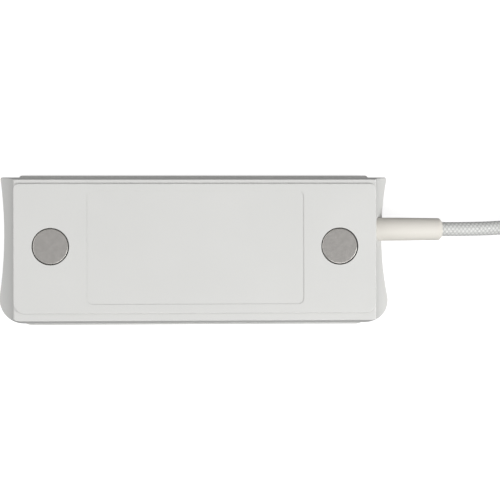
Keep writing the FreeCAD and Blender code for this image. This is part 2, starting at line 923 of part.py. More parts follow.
def reed_lead(label, side, end):
    """A round lead that starts inside the glass, runs out through its seal and bends down."""
    reach = "reed_lead_reach"
    start = end if side > 0 else f"-{reach}"
    level = rod(f"{label}_level", start, "reed_y", "reed_level", "reed_lead_radius", f"{reach} - {end}", "X")
    foot_x = f"{reach} - reed_foot_inset" if side > 0 else f"-{reach} + reed_foot_inset"
    drop = "reed_level - board_top"
    foot = rod(f"{label}_foot", foot_x, "reed_y", "board_top", "reed_foot_radius", drop)
    return [level, foot]


def blade(label, x, shift, length):
    return block(
        label,
        x,
        "reed_y - blade_width / 2",
        f"reed_level {shift} - blade_thick / 2",
        length,
        "blade_width",
        "blade_thick",
    )


def reed_switch():
    """Two overlapping blades in the glass. The free one bends across a 0.12 mm gap."""
    root = "(glass_half_length - glass_seal - blade_root)"
    length = f"{root} + blade_overlap"
    reed_glass()
    keep(fuse("reed_fixed_lead", reed_lead("reed_fixed_end", -1, root)))
    keep(blade("reed_fixed_blade", f"-{root}", "- blade_offset", length))
    keep(fuse("reed_moving_lead", reed_lead("reed_moving_end", 1, f"({root} + blade_root_gap)")))
    keep(blade("reed_moving_blade", "-blade_overlap", "+ blade_offset", length))


def tamper_switch():
    """A square switch whose plunger the back cover holds down."""
    half = "tamper_side / 2"
    case = block(
        "tamper_case",
        f"tamper_x - {half}",
        f"tamper_y - {half}",
        "board_top",
        "tamper_side",
        "tamper_side",
        "tamper_top - board_top",
    )
    well_floor = "(plunger_bottom - plunger_room)"
    well = rod(
        "tamper_well",
        "tamper_x",
        "tamper_y",
        well_floor,
        "plunger_radius + plunger_gap",
        f"tamper_top - {well_floor} + weld",
    )
    keep(cut("tamper_body", case, well))
    keep(
        rod(
            "tamper_plunger",
            "tamper_x",
            "tamper_y",
            "plunger_bottom",
            "plunger_radius",
            "plunger_top - plunger_bottom",
        )
    )


def status_light():
    keep(
        block(
            "status_led",
            "light_x - led_length / 2",
            "light_y - led_width / 2",
            "board_bottom - led_drop",
            "led_length",
            "led_width",
            "led_drop",
        )
    )
    body = new_body("light_pipe", "light_x", "light_y")
    stem = new_sketch(body, "stem", "XY_Plane", "light_face")
    circle(stem, "0", "0", "light_radius")
    pad(body, stem, "light_top - light_face")
    flange = new_sketch(body, "flange", "XY_Plane", "front_wall")
    circle(flange, "0", "0", "light_flange")
    pad(body, flange, "light_flange_rise")
    keep(body)


def line_resistors():
    """Two end-of-line resistors, each with its two bent leads."""
    pair = []
    for i in range(2):
        y = f"resistor_y - {i} * resistor_pitch"
        name = f"line_resistor_{i + 1}"
        wire_x = "resistor_x - resistor_reach"
        case_x = "resistor_x - resistor_length / 2"
        level = "resistor_level"
        pieces = [
            rod(f"{name}_case", case_x, y, level, "resistor_radius", "resistor_length", "X"),
            rod(f"{name}_wire", wire_x, y, level, "resistor_wire", "2 * resistor_reach", "X"),
        ]
        feet = (
            ("near", f"{wire_x} + resistor_wire"),
            ("far", "resistor_x + resistor_reach - resistor_wire"),
        )
        for word, x in feet:
            drop = "resistor_level - board_top"
            pieces.append(rod(f"{name}_{word}", x, y, "board_top", "resistor_wire", drop))
        pair.append(fuse(name, pieces))
    return keep(group("line_resistors", pair))


def terminals():
    """The board's header, the connector pushed on it and the four conductors."""
    low = "cable_y - header_width / 2"
    keep(
        block(
            "board_header",
            "header_x",
            low,
            "board_top",
            "header_length",
            "header_width",
            "header_rise",
        )
    )
    start = "header_x + header_length"
    keep(
        block(
            "wire_connector",
            start,
            "cable_y - shell_width / 2",
            "board_top + shell_lift",
            "shell_length",
            "shell_width",
            "shell_rise",
        )
    )
    from_x = value(f"{start} + shell_length")
    from_z = value("board_top + shell_lift + shell_rise / 2")
    half = value("wire_bundle")
    wires = []
    for i in range(4):
        at_shell = Vector(from_x, value(f"cable_y + ({i} - 1.5) * wire_pitch"), from_z)
        side = half if i > 1 else -half
        lift = half if i in (1, 2) else -half
        at_jacket = Vector(value("jacket_end"), value("cable_y") + side, value("cable_level") + lift)
        wires.append(straight_wire(f"conductor_{i + 1}", at_shell, at_jacket))
    keep(group("lead_wires", wires))


def straight_wire(label, start, end):
    """A thin cylinder from one point to another."""
    thing = doc.addObject("Part::Cylinder", label)
    bind(thing, "Radius", "wire_radius")
    run = end - start
    thing.Height = run.Length
    thing.Placement = Placement(start, Rotation(Vector(0, 0, 1), run))
    return thing


# ---------------------------------------------------------------- lead, boot, coil and plug


def strain_relief():
    """The moulded boot: a flange inside the wall, a neck through it and a tapered sleeve."""
    bore = "cable_radius + fit"
    body = turned(
        "strain_relief",
        [
            ("boot_flange_start", bore),
            ("boot_flange_start", "boot_flange_radius"),
            ("cavity_half_length - flange_gap", "boot_flange_radius"),
            ("cavity_half_length - flange_gap", "boot_neck_radius"),
            ("boot_seat + fit", "boot_neck_radius"),
            ("boot_seat + fit", "boot_base_radius"),
            ("boot_end - boot_chamfer", "boot_tip_radius"),
            ("boot_end", "boot_tip_radius - boot_chamfer"),
            ("boot_end", bore),
        ],
        "0",
        "cable_y",
        "cable_level",
    )
    return keep(body)


def lead_through_wall():
    """The jacket inside the boot, and the ferrule crimped on its inner end."""
    y, z = "cable_y", "cable_level"
    keep(rod("cable_inner_end", "jacket_end", y, z, "cable_radius", "boot_end - jacket_end", "X"))
    length = "ferrule_end - ferrule_start"
    outer = rod("ferrule_outer", "ferrule_start", y, z, "ferrule_radius", length, "X")
    bore_start, bore_length = "ferrule_start - weld", f"{length} + 2 * weld"
    bore = rod("ferrule_bore", bore_start, y, z, "cable_radius + fit", bore_length, "X")
    keep(cut("cable_ferrule", outer, bore))


def round_path(points):
    """Straight runs joined by tangent arcs, as large as the runs beside them allow."""
    spots = [Vector(*point) for point in points]
    edges = []
    radii = []
    here = spots[0]
    for before, corner, after in zip(spots, spots[1:], spots[2:]):
        back = (before - corner).normalize()
        ahead = (after - corner).normalize()
        turn = math.pi - back.getAngle(ahead)
        setback = 0.45 * min((before - corner).Length, (after - corner).Length)
        radius = setback / math.tan(turn / 2)
        radii.append(radius)
        enter = corner + back * setback
        leave = corner + ahead * setback
        inwards = (back + ahead).normalize()
        middle = corner + inwards * (radius / math.cos(turn / 2) - radius)
        edges.append(Part.LineSegment(here, enter).toShape())
        edges.append(Part.Arc(enter, middle, leave).toShape())
        here = leave
    edges.append(Part.LineSegment(here, spots[-1]).toShape())
    return Part.Wire(edges), radii


def cable_stretch(label, points):
    """A round tube along a route. Its volume must be its section times its length."""
    path, radii = round_path(points)
    radius = value("cable_radius")
    heading = Vector(*points[1]) - Vector(*points[0])
    section = Part.Wire([Part.makeCircle(radius, Vector(*points[0]), heading)])
    tube = path.makePipeShell([section], True, False)
    if tube.Volume < 0:
        tube.reverse()
    expected = math.pi * radius**2 * path.Length
    figures = (path.Length, tube.Volume, expected)
    print(label, "length, volume, expected", [round(figure, 2) for figure in figures])
    print(label, "radii in diameters", [round(r / radius / 2, 2) for r in radii])
    assert abs(tube.Volume - expected) < 0.01 * expected, label
    thing = doc.addObject("Part::Feature", label)
    thing.Shape = tube
    return keep(thing)


def cable_coil():
    """The outer shape of the stored turns: a thick ring with rounded edges."""
    half = "(coil_turns_in_layer * cable_radius + cable_radius)"
    height = "(coil_layers * 2 * cable_radius)"
    body = new_body("cable_coil", "coil_x", "coil_y", "coil_lift")
    ring = new_sketch(body, "ring", "XY_Plane")
    circle(ring, "0", "0", f"coil_mean_radius + {half}")
    circle(ring, "0", "0", f"coil_mean_radius - {half}")
    last = pad(body, ring, height)
    fillet(body, last, lambda edge, middle: len(edge.Vertexes) == 1, "coil_round")
    return keep(body)


def ring(label, inner, outer, z, height):
    """A plain ring about the coil's own axis."""
    disc = rod(f"{label}_disc", "0", "0", z, outer, height)
    hole = rod(f"{label}_hole", "0", "0", z, inner, height)
    return cut(label, disc, hole)


def coil_tie():
    """A thin strap round the coil's section: a short sector of a ring with the coil's room cut out."""
    half = "(coil_turns_in_layer * cable_radius + cable_radius)"
    inner, outer = f"coil_mean_radius - {half}", f"coil_mean_radius + {half}"
    height = "(coil_layers * 2 * cable_radius)"
    shell = ring(
        "tie_shell",
        f"{inner} - coil_lift",
        f"{outer} + coil_lift",
        "0",
        f"{height} + 2 * coil_lift",
    )
    room = ring("tie_room", inner, outer, "coil_lift", height)
    sleeve = cut("tie_sleeve", shell, room)
    sector = block(
        "tie_sector",
        "0",
        "-tie_width / 2",
        "0",
        f"{outer} + 2 * coil_lift",
        "tie_width",
        f"{height} + 2 * coil_lift",
    )
    strap = doc.addObject("Part::MultiCommon", "coil_tie")
    strap.Label = "coil_tie"
    strap.Shapes = [sleeve, sector]
    centre = Vector(value("coil_x"), value("coil_y"), 0)
    strap.Placement = Placement(centre, Rotation(Vector(0, 0, 1), value("tie_turn")))
    return keep(strap)


def plug():
    """A jack plug lying on the coil: boot, grip, and a contact of sleeve, ring and tip."""
    level = value("coil_lift + coil_layers * 2 * cable_radius + plug_grip_radius")
    place = Placement(
        Vector(value("plug_x"), value("plug_y"), level),
        Rotation(Vector(0, 0, 1), value("plug_heading")),
    )
    grip_start = "plug_boot_length"
    grip_end = "plug_boot_length + plug_grip_length"
    sleeve_end = f"{grip_end} + jack_sleeve_length"
    ring_end = f"{sleeve_end} + jack_ring_length"
    tip_end = f"{ring_end} + jack_tip_length"
    profiles = {
        "plug_boot": [
            ("0", "0"),
            ("0", "plug_boot_radius"),
            (grip_start, "plug_boot_radius + plug_boot_flare"),
            (grip_start, "0"),
        ],
        "plug_grip": [
            (grip_start, "0"),
            (grip_start, "plug_grip_radius - plug_round"),
            (f"{grip_start} + plug_round", "plug_grip_radius"),
            (f"{grip_end} - plug_collar_length - plug_collar_bevel", "plug_grip_radius"),
            (f"{grip_end} - plug_collar_length", "plug_collar_radius"),
            (grip_end, "plug_collar_radius"),
            (grip_end, "0"),
        ],
        "plug_sleeve": [
            (grip_end, "0"),
            (grip_end, "jack_radius"),
            (sleeve_end, "jack_radius"),
            (sleeve_end, "0"),
        ],
        "plug_insulator": [
            (sleeve_end, "0"),
            (sleeve_end, "jack_radius"),
            (ring_end, "jack_radius"),
            (ring_end, "0"),
        ],
        "plug_tip": [
            (ring_end, "0"),
            (ring_end, "jack_radius"),
            (f"{ring_end} + tip_shoulder", "jack_radius"),
            (f"{ring_end} + tip_neck", "jack_neck_radius"),
            (f"{ring_end} + tip_bulge", "jack_radius"),
            (f"{tip_end} - tip_nose", "jack_core_radius"),
            (tip_end, "0"),
        ],
    }
    for label, corners in profiles.items():
        body = turned(label, corners)
        body.Placement = place
        keep(body)


# ---------------------------------------------------------------- build, check and write

front_cover()
housing()
back_cover()
mounting_magnet("mounting_magnet_left", "-")
mounting_magnet("mounting_magnet_right", "")
case_screws()
circuit_board()
board_screws()
reed_switch()
tamper_switch()
status_light()
line_resistors()
keep(
    rod(
        "surge_varistor",
        "varistor_x",
        "varistor_y",
        "board_top",
        "varistor_radius",
        "varistor_thick",
    )
)
terminals()
strain_relief()
lead_through_wall()
cable_stretch("cable_lead", LEAD_ROUTE)
cable_coil()
cable_stretch("cable_tail", TAIL_ROUTE)
coil_tie()
plug()
doc.recompute()

for thing in doc.Objects:
    faults = [word for word in thing.State if word in ("Invalid", "Error")]
    assert not faults, f"{thing.Label}: {thing.State}"

os.makedirs("parts", exist_ok=True)
for node in nodes:
    shape = node.Shape
    assert not shape.isNull() and shape.isValid() and shape.Volume > 0, node.Label
    shape.exportStep(f"parts/{node.Label}.step")
    print(f"{node.Label}: {len(shape.Solids)} solid(s), {shape.Volume:.2f} mm3")
print(len(nodes), "nodes")
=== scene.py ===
import json
import math

import bmesh
import bpy
from mathutils import Matrix, Vector


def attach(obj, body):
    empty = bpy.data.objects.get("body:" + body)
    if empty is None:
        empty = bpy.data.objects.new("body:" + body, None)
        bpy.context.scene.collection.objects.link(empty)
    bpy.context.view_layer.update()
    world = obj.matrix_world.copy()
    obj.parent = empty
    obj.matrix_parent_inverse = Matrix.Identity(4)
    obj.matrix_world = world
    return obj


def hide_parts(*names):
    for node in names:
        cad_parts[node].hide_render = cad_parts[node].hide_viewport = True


# A wired door contact sensor that lies on its front and is seen from above: its back plate with
# two magnets, the moulded boot, and the braided lead, which is put away as a tied coil.
# Lengths are in millimetres unless a name or a comment says metres. MM turns them into metres.

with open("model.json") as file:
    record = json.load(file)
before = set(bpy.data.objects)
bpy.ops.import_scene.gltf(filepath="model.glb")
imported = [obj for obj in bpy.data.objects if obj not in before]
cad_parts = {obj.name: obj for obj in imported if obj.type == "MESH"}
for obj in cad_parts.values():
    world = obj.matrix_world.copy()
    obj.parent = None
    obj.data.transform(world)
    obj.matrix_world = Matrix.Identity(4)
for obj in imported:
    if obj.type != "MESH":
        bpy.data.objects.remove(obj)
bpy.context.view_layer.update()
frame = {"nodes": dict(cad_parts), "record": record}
NODES = frame["nodes"]
BODY = "sensor"
MM = 0.001
SCENE = bpy.context.scene

# ---------------------------------------------------------------- camera

VIEW_SIDE = 134.0
VIEW_CENTRE = Vector((14.55, -0.05, 15.6))
VIEW_DISTANCE = 500.0
VIEW_LEAN = math.radians(3.2)
VIEW_ROLL = math.radians(0.13)
SENSOR_WIDTH = 36.0


def make_camera():
    """Looks almost straight down, from a little towards the end without a lead."""
    data = bpy.data.cameras.new("camera")
    data.sensor_width = SENSOR_WIDTH
    data.lens = SENSOR_WIDTH * VIEW_DISTANCE / VIEW_SIDE
    data.clip_start = 0.01
    data.clip_end = 10.0
    camera = bpy.data.objects.new("camera", data)
    SCENE.collection.objects.link(camera)
    turn = Matrix.Rotation(-VIEW_LEAN, 3, "Y") @ Matrix.Rotation(-VIEW_ROLL, 3, "Z")
    back = Vector((-math.sin(VIEW_LEAN), 0.0, math.cos(VIEW_LEAN)))
    camera.matrix_world = turn.to_4x4()
    camera.location = (VIEW_CENTRE + back * VIEW_DISTANCE) * MM
    SCENE.camera = camera


# ---------------------------------------------------------------- meshes


def as_object(name, mesh, sharp_degrees=None):
    """The bmesh as a smooth object in the scene. Edges sharper than a given angle stay crisp."""
    data = bpy.data.meshes.new(name)
    mesh.to_mesh(data)
    mesh.free()
    data.polygons.foreach_set("use_smooth", [True] * len(data.polygons))
    if sharp_degrees is not None:
        data.set_sharp_from_angle(angle=math.radians(sharp_degrees))
    obj = bpy.data.objects.new(name, data)
    SCENE.collection.objects.link(obj)
    return obj


# ---------------------------------------------------------------- lead

CABLE_D = 3.8
CABLE_Y = 5.55
CABLE_Z = 9.4
BOOT_END = 67.3
LEAD_ROUTE = [
    (BOOT_END, CABLE_Y, CABLE_Z),
    (75.8, CABLE_Y, CABLE_Z),
    (85.0, 5.95, 7.3),
    (94.8, 7.0, 4.1),
    (105.0, 7.4, 2.5),
    (115.0, 6.9, 2.4),
]
TAIL_ROUTE = [
    (99.734, -35.044, 13.8),
    (92.3, -28.8, 14.2),
    (89.8, -19.4, 15.7),
    (93.2, -10.2, 18.1),
    (101.611, -4.966, 19.7),
    (109.9, -5.4, 19.7),
]
COIL_CENTRE = (115.0, -16.85)
COIL_FLOOR = 2.4
COIL_OUTER = 23.75
COIL_INNER = 14.25
COIL_START = math.radians(90)
COIL_TURNS = 2.5
COIL_CLIMB = 0.5
COIL_LAYERS = 4
COIL_END = 40 / 360
TURN_POINTS = 24
CURVE_ORDER = 3
CURVE_STEPS = 6
LEAD_SIDES = 24
LEAD_SHARP = 50


def coil_stages():
    """The coil's runs as (turns, radius and radius after, layer and layer after).

    Each layer winds inwards or outwards in turn. A half turn climbs to the next one, and 40 degrees of
    a turn end the last.
    """
    stages = []
    for layer in range(COIL_LAYERS):
        ends = (COIL_OUTER, COIL_INNER) if layer % 2 == 0 else (COIL_INNER, COIL_OUTER)
        stages.append((COIL_TURNS, *ends, layer, layer))
        if layer < COIL_LAYERS - 1:
            stages.append((COIL_CLIMB, ends[1], ends[1], layer, layer + 1))
    top = COIL_LAYERS - 1
    stages.append((COIL_END, COIL_OUTER, COIL_OUTER, top, top))
    return stages


def coil_points():
    """The coil's control points, clockwise, a little outside the curve that they make."""
    swell = 1 / math.cos(math.pi / TURN_POINTS)
    points = []
    turned = 0.0
    for turns, r0, r1, z0, z1 in coil_stages():
        steps = max(1, round(turns * TURN_POINTS))
        for step in range(1, steps + 1):
            share = step / steps
            angle = COIL_START - 2 * math.pi * (turned + turns * share)
            r = (r0 + (r1 - r0) * share) * swell
            ease = share * share * (3 - 2 * share)
            z = COIL_FLOOR + CABLE_D * (z0 + (z1 - z0) * ease)
            x = COIL_CENTRE[0] + r * math.cos(angle)
            y = COIL_CENTRE[1] + r * math.sin(angle)
            points.append((x, y, z))
        turned += turns
    return points[:-1]


def make_route():
    """One open smooth curve, in metres, from the boot, round the coil and up over it to the plug."""
    points = LEAD_ROUTE + coil_points() + TAIL_ROUTE
    data = bpy.data.curves.new("lead_route", "CURVE")
    data.dimensions = "3D"
    data.resolution_u = CURVE_STEPS
    spline = data.splines.new("NURBS")
    spline.points.add(len(points) - 1)
    for spot, (x, y, z) in zip(spline.points, points):
        spot.co = (x * MM, y * MM, z * MM, 1.0)
    spline.order_u = CURVE_ORDER
    spline.use_endpoint_u = True
    curve = bpy.data.objects.new("lead_route", data)
    mesh = bpy.data.meshes.new_from_object(curve)
    line = [vertex.co.copy() for vertex in mesh.vertices]
    bpy.data.meshes.remove(mesh)
    bpy.data.curves.remove(data)
    return line


def tube(name, line, radius, sides):
    """A mesh tube along a line, unwrapped with metres along it and the share of a turn round it."""
    mesh = bmesh.new()
    unwrap = mesh.loops.layers.uv.new("UVMap")
    along = 0.0
    side = Vector((0, 0, 1))
    rings = []
    for i, spot in enumerate(line):
        before, after = line[max(i - 1, 0)], line[min(i + 1, len(line) - 1)]
        heading = (after - before).normalized()
        side = (side - heading * side.dot(heading)).normalized()
        other = heading.cross(side)
        if i:
            along += (spot - line[i - 1]).length
        ring = []
        for k in range(sides):
            angle = 2 * math.pi * k / sides
            outwards = side * math.cos(angle) + other * math.sin(angle)
            ring.append(mesh.verts.new(spot + outwards * radius))
        rings.append((ring, along))
    for (first, start), (second, stop) in zip(rings, rings[1:]):
        for k in range(sides):
            j = (k + 1) % sides
            face = mesh.faces.new((first[k], first[j], second[j], second[k]))
            spots = ((start, k), (start, k + 1), (stop, k + 1), (stop, k))
            for loop, (u, v) in zip(face.loops, spots):
                loop[unwrap].uv = (u, v / sides)
    mesh.faces.new(rings[0][0][::-1])
    mesh.faces.new(rings[-1][0])
    return as_object(name, mesh, LEAD_SHARP)


make_camera()
route = make_route()
lead = tube("braided_lead", route, CABLE_D / 2 * MM, LEAD_SIDES)
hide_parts("cable_lead", "cable_coil", "cable_tail")
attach(lead, BODY)

# ---------------------------------------------------------------- materials

SOCKETS = {
    "colour": "Base Color",
    "rough": "Roughness",
    "metal": "Metallic",
    "normal": "Normal",
    "sheen": "Sheen Weight",
    "sheen_rough": "Sheen Roughness",
    "glass": "Transmission Weight",
    "ior": "IOR",
    "specular": "Specular IOR Level",
}
MM_PER_M = 1000.0


class Graph:
    """Short names for making a material's nodes."""

    def __init__(self, name):
        self.material = bpy.data.materials.new(name)
        self.material.use_nodes = True
        self.tree = self.material.node_tree
        self.shader = self.tree.nodes["Principled BSDF"]

    def add(self, kind, inputs=(), **settings):
        node = self.tree.nodes.new(kind)
        for name, setting in settings.items():
            setattr(node, name, setting)
        for key, given in dict(inputs).items():
            self.put(node.inputs[key], given)
        return node

    def put(self, socket, given):
        if isinstance(given, bpy.types.NodeSocket):
            self.tree.links.new(given, socket)
        elif isinstance(given, (tuple, list)) and len(given) == 3 and socket.type == "RGBA":
            socket.default_value = (*given, 1.0)
        else:
            socket.default_value = given

    def math(self, operation, a, b=0.0):
        return self.add("ShaderNodeMath", {0: a, 1: b}, operation=operation).outputs[0]

    def scale(self, vector, amount):
        node = self.add("ShaderNodeVectorMath", {0: vector, "Scale": amount}, operation="SCALE")
        return node.outputs[0]

    def stretch(self, vector, factors):
        node = self.add("ShaderNodeVectorMath", {0: vector, 1: factors}, operation="MULTIPLY")
        return node.outputs[0]

    def place(self):
        """Where a point is on the object, in millimetres."""
        return self.scale(self.add("ShaderNodeTexCoord").outputs["Object"], MM_PER_M)

    def noise(self, vector, scale, detail=2.0, rough=0.5):
        inputs = {"Vector": vector, "Scale": scale, "Detail": detail, "Roughness": rough}
        return self.add("ShaderNodeTexNoise", inputs).outputs[0]

    def pattern(self, kind, **inputs):
        """The factor of a wave or brick texture, which is its second output."""
        given = {name.replace("_", " "): setting for name, setting in inputs.items()}
        return self.add(kind, given).outputs[1]

    def spread(self, value, low, high, into_low, into_high):
        inputs = {"Value": value, "From Min": low, "From Max": high, "To Min": into_low, "To Max": into_high}
        return self.add("ShaderNodeMapRange", inputs).outputs[0]

    def vary(self, noise, into_low, into_high):
        """Spreads a noise, which mostly lies from 0.3 to 0.7, between two numbers."""
        return self.spread(noise, 0.3, 0.7, into_low, into_high)

    def mix(self, share, first, second):
        """A mix of two colours. Sockets 6 and 7 and output 2 are the node's colour ones."""
        node = self.add("ShaderNodeMix", {0: share, 6: first, 7: second}, data_type="RGBA")
        return node.outputs[2]

    def shade(self, colour, amount):
        """The colour made lighter or darker by a number near 1."""
        return self.scale(colour, amount)

    def bump(self, height, depth_mm, strength=1.0):
        inputs = {"Height": height, "Distance": depth_mm * MM, "Strength": strength}
        return self.add("ShaderNodeBump", inputs).outputs[0]

    def set(self, **given):
        for key, what in given.items():
            self.put(self.shader.inputs[SOCKETS[key]], what)
        return self.material


def moulded(name, colour, rough, grain_mm=0.35, depth_mm=0.004):
    """Moulded plastic: a fine eroded texture, faint clouding and faint flow variation in its gloss."""
    g = Graph(name)
    spot = g.place()
    cloud = g.noise(spot, 0.045, 3.0)
    grain = g.noise(spot, 1 / grain_mm, 2.0, 0.6)
    flow = g.noise(g.stretch(spot, (0.05, 0.25, 0.25)), 1.0, 2.0)
    tone = g.math("MULTIPLY", g.vary(cloud, 0.985, 1.012), g.spread(grain, 0.2, 0.8, 0.99, 1.01))
    return g.set(
        colour=g.shade(colour, tone),
        rough=g.vary(flow, rough - 0.03, rough + 0.04),
        normal=g.bump(grain, depth_mm, 0.6),
    )


def metal(name, colour, rough, spots=0.12, stretch=(1, 1, 1), depth_mm=0.002):
    """Plated metal: a fine grain, drawn out into lines by a stretch, with soft blotches and specks."""
    g = Graph(name)
    spot = g.place()
    lines = g.noise(g.stretch(spot, stretch), 6.0, 3.0, 0.6)
    blotch = g.noise(spot, 0.7, 4.0, 0.6)
    speck = g.noise(spot, 5.0, 2.0, 0.5)
    tone = g.math("MULTIPLY", g.vary(blotch, 1 - spots, 1 + spots), g.vary(speck, 0.97, 1.03))
    return g.set(
        colour=g.shade(colour, tone),
        metal=1.0,
        rough=g.vary(lines, rough - 0.05, rough + 0.08),
        normal=g.bump(lines, depth_mm, 0.5),
    )


BRAID_COLOUR = (0.66, 0.665, 0.65)
BRAID_CARRIERS = 8
BRAID_LAY_MM = 8.8
BRAID_DEPTH_MM = 0.12
YARNS = 4
YARN_RISE = 0.3


def braided(g, along, around):
    """Strands over and under each other both ways round, each of four fine yarns, with painted shade in the
    dips between them.
    """
    turns = g.math("DIVIDE", along, BRAID_LAY_MM)
    right = g.math("MULTIPLY", g.math("ADD", around, turns), float(BRAID_CARRIERS))
    left = g.math("MULTIPLY", g.math("SUBTRACT", around, turns), float(BRAID_CARRIERS))
    right_cell = g.math("FLOOR", right)
    left_cell = g.math("FLOOR", left)
    over = g.math("MODULO", g.math("ABSOLUTE", g.math("ADD", right_cell, left_cell)), 2.0)
    over = g.math("GREATER_THAN", over, 0.5)
    under = g.math("SUBTRACT", 1.0, over)

    def hump(share):
        return g.math("SINE", g.math("MULTIPLY", share, math.pi))

    def on_top(pair):
        return g.math("ADD", g.math("MULTIPLY", pair[0], over), g.math("MULTIPLY", pair[1], under))

    strands = []
    yarns = []
    for across, lengthwise in ((right, left), (left, right)):
        share = g.math("FRACT", across)
        crown = g.math("POWER", hump(share), 0.6)
        run = g.math("POWER", hump(g.math("FRACT", lengthwise)), 0.5)
        strands.append(g.math("MULTIPLY", crown, run))
        yarns.append(hump(g.math("FRACT", g.math("MULTIPLY", share, float(YARNS)))))
    strand = on_top(strands)
    yarn = on_top(yarns)
    height = g.math("ADD", strand, g.math("MULTIPLY", yarn, YARN_RISE))
    wear = g.noise(g.place(), 0.6, 2.0)
    # Painted shade: the colour darkens where the strands dip and between the yarns, and is a little lighter
    # on their crowns.
    tone = g.math("MULTIPLY", g.spread(strand, 0.0, 0.8, 0.68, 1.06), g.spread(yarn, 0.0, 1.0, 0.86, 1.05))
    tone = g.math("MULTIPLY", tone, g.vary(wear, 0.97, 1.03))
    return g.set(
        colour=g.shade(BRAID_COLOUR, tone),
        rough=g.spread(yarn, 0.0, 1.0, 0.45, 0.24),
        normal=g.bump(height, BRAID_DEPTH_MM),
        sheen=0.15,
        sheen_rough=0.4,
        specular=1.0,
    )


def braid_on_lead():
    """The sleeve on the visible lead, which follows its unwrapping."""
    g = Graph("braid_lead")
    split = g.add("ShaderNodeSeparateXYZ", {0: g.add("ShaderNodeTexCoord").outputs["UV"]})
    along = g.math("MULTIPLY", split.outputs[0], MM_PER_M)
    return braided(g, along, split.outputs[1])


def braid_inside():
    """The same sleeve on the straight piece inside the boot, which runs along X."""
    g = Graph("braid_inner")
    split = g.add("ShaderNodeSeparateXYZ", {0: g.place()})
    rise = g.math("SUBTRACT", split.outputs[2], CABLE_Z)
    side = g.math("SUBTRACT", split.outputs[1], CABLE_Y)
    around = g.math("DIVIDE", g.math("ARCTAN2", rise, side), 2 * math.pi)
    return braided(g, split.outputs[0], around)


def clear(name, tint):
    """Clear glass or plastic with a faint haze."""
    g = Graph(name)
    haze = g.noise(g.place(), 0.8, 2.0)
    return g.set(colour=tint, glass=1.0, ior=1.49, rough=g.vary(haze, 0.03, 0.07))


def board_laminate():
    """Green mask with copper tracks under it and a fine glass weave."""
    g = Graph("board_laminate")
    spot = g.place()
    weave = g.pattern("ShaderNodeTexWave", Vector=spot, Scale=1.2, Distortion=0.4)
    tracks = g.pattern("ShaderNodeTexBrick", Vector=spot, Scale=0.35, Mortar_Size=0.05)
    colour = g.mix(g.math("MULTIPLY", tracks, 0.8), (0.010, 0.085, 0.035), (0.07, 0.25, 0.08))
    return g.set(
        colour=g.shade(colour, g.spread(weave, 0.0, 1.0, 0.92, 1.05)),
        rough=0.3,
        normal=g.bump(tracks, 0.03, 0.5),
    )


def strap_cloth():
    """Woven strap: fine ribs across it and short loose loops."""
    g = Graph("tie_strap")
    spot = g.place()
    ribs = g.pattern("ShaderNodeTexWave", Vector=spot, Scale=0.9, Distortion=1.5, Detail=2.0)
    loops = g.noise(spot, 3.0, 4.0, 0.7)
    height = g.math("ADD", g.math("MULTIPLY", ribs, 0.5), loops)
    return g.set(
        colour=g.shade((0.020, 0.020, 0.023), g.vary(loops, 0.6, 1.7)),
        rough=0.85,
        normal=g.bump(height, 0.25, 0.8),
        sheen=0.3,
    )


SHELL = (0.615, 0.615, 0.600)
DRAWN = (0.3, 3, 3)
MATERIALS = {
    "shell_white": moulded("shell_white", SHELL, 0.42),
    "magnet_plating": metal("magnet_plating", (0.575, 0.555, 0.53), 0.2, 0.06),
    "screw_steel": metal("screw_steel", (0.55, 0.56, 0.58), 0.3),
    "switch_black": moulded("switch_black", (0.02, 0.02, 0.022), 0.5),
    "plunger_cream": moulded("plunger_cream", (0.70, 0.66, 0.52), 0.45),
    "boot_white": moulded("boot_white", (0.68, 0.655, 0.605), 0.5, 0.25, 0.003),
    "plug_white": moulded("plug_white", SHELL, 0.36),
    "connector_cream": moulded("connector_cream", (0.74, 0.70, 0.58), 0.45),
    "jack_plating": metal("jack_plating", (0.70, 0.69, 0.67), 0.14, 0.03, DRAWN, 0.001),
    "jack_insulator": moulded("jack_insulator", (0.012, 0.012, 0.013), 0.35),
    "ferrule_metal": metal("ferrule_metal", (0.62, 0.48, 0.24), 0.28),
    "reed_alloy": metal("reed_alloy", (0.62, 0.60, 0.56), 0.25, 0.06, DRAWN),
    "resistor_coat": moulded("resistor_coat", (0.50, 0.36, 0.20), 0.35),
    "varistor_coat": moulded("varistor_coat", (0.02, 0.07, 0.25), 0.3),
    "wire_insulation": moulded("wire_insulation", (0.32, 0.33, 0.34), 0.4),
    "clear_plastic": clear("clear_plastic", (0.92, 0.94, 0.96)),
    "reed_glass": clear("reed_glass", (0.80, 0.92, 0.84)),
    "board_laminate": board_laminate(),
    "tie_strap": strap_cloth(),
    "lead_braid": braid_inside(),
}

slots = {part["node"]: part["material_slot"] for part in frame["record"]["subparts"]}
for node, obj in NODES.items():
    obj.data.materials.clear()
    obj.data.materials.append(MATERIALS[slots[node]])

lead.data.materials.append(braid_on_lead())

# ---------------------------------------------------------------- pieces made here

ON_AXIS = 1e-6
ARC_STEPS = 6
TURNED_SIDES = 72
TURNED_SHARP = 38


def dress(obj, slot_name, *replaced):
    """Puts a finished piece on the sensor, with its finish and the nodes it stands for."""
    obj.data.materials.append(MATERIALS[slot_name])
    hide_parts(*replaced)
    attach(obj, BODY)
    return obj


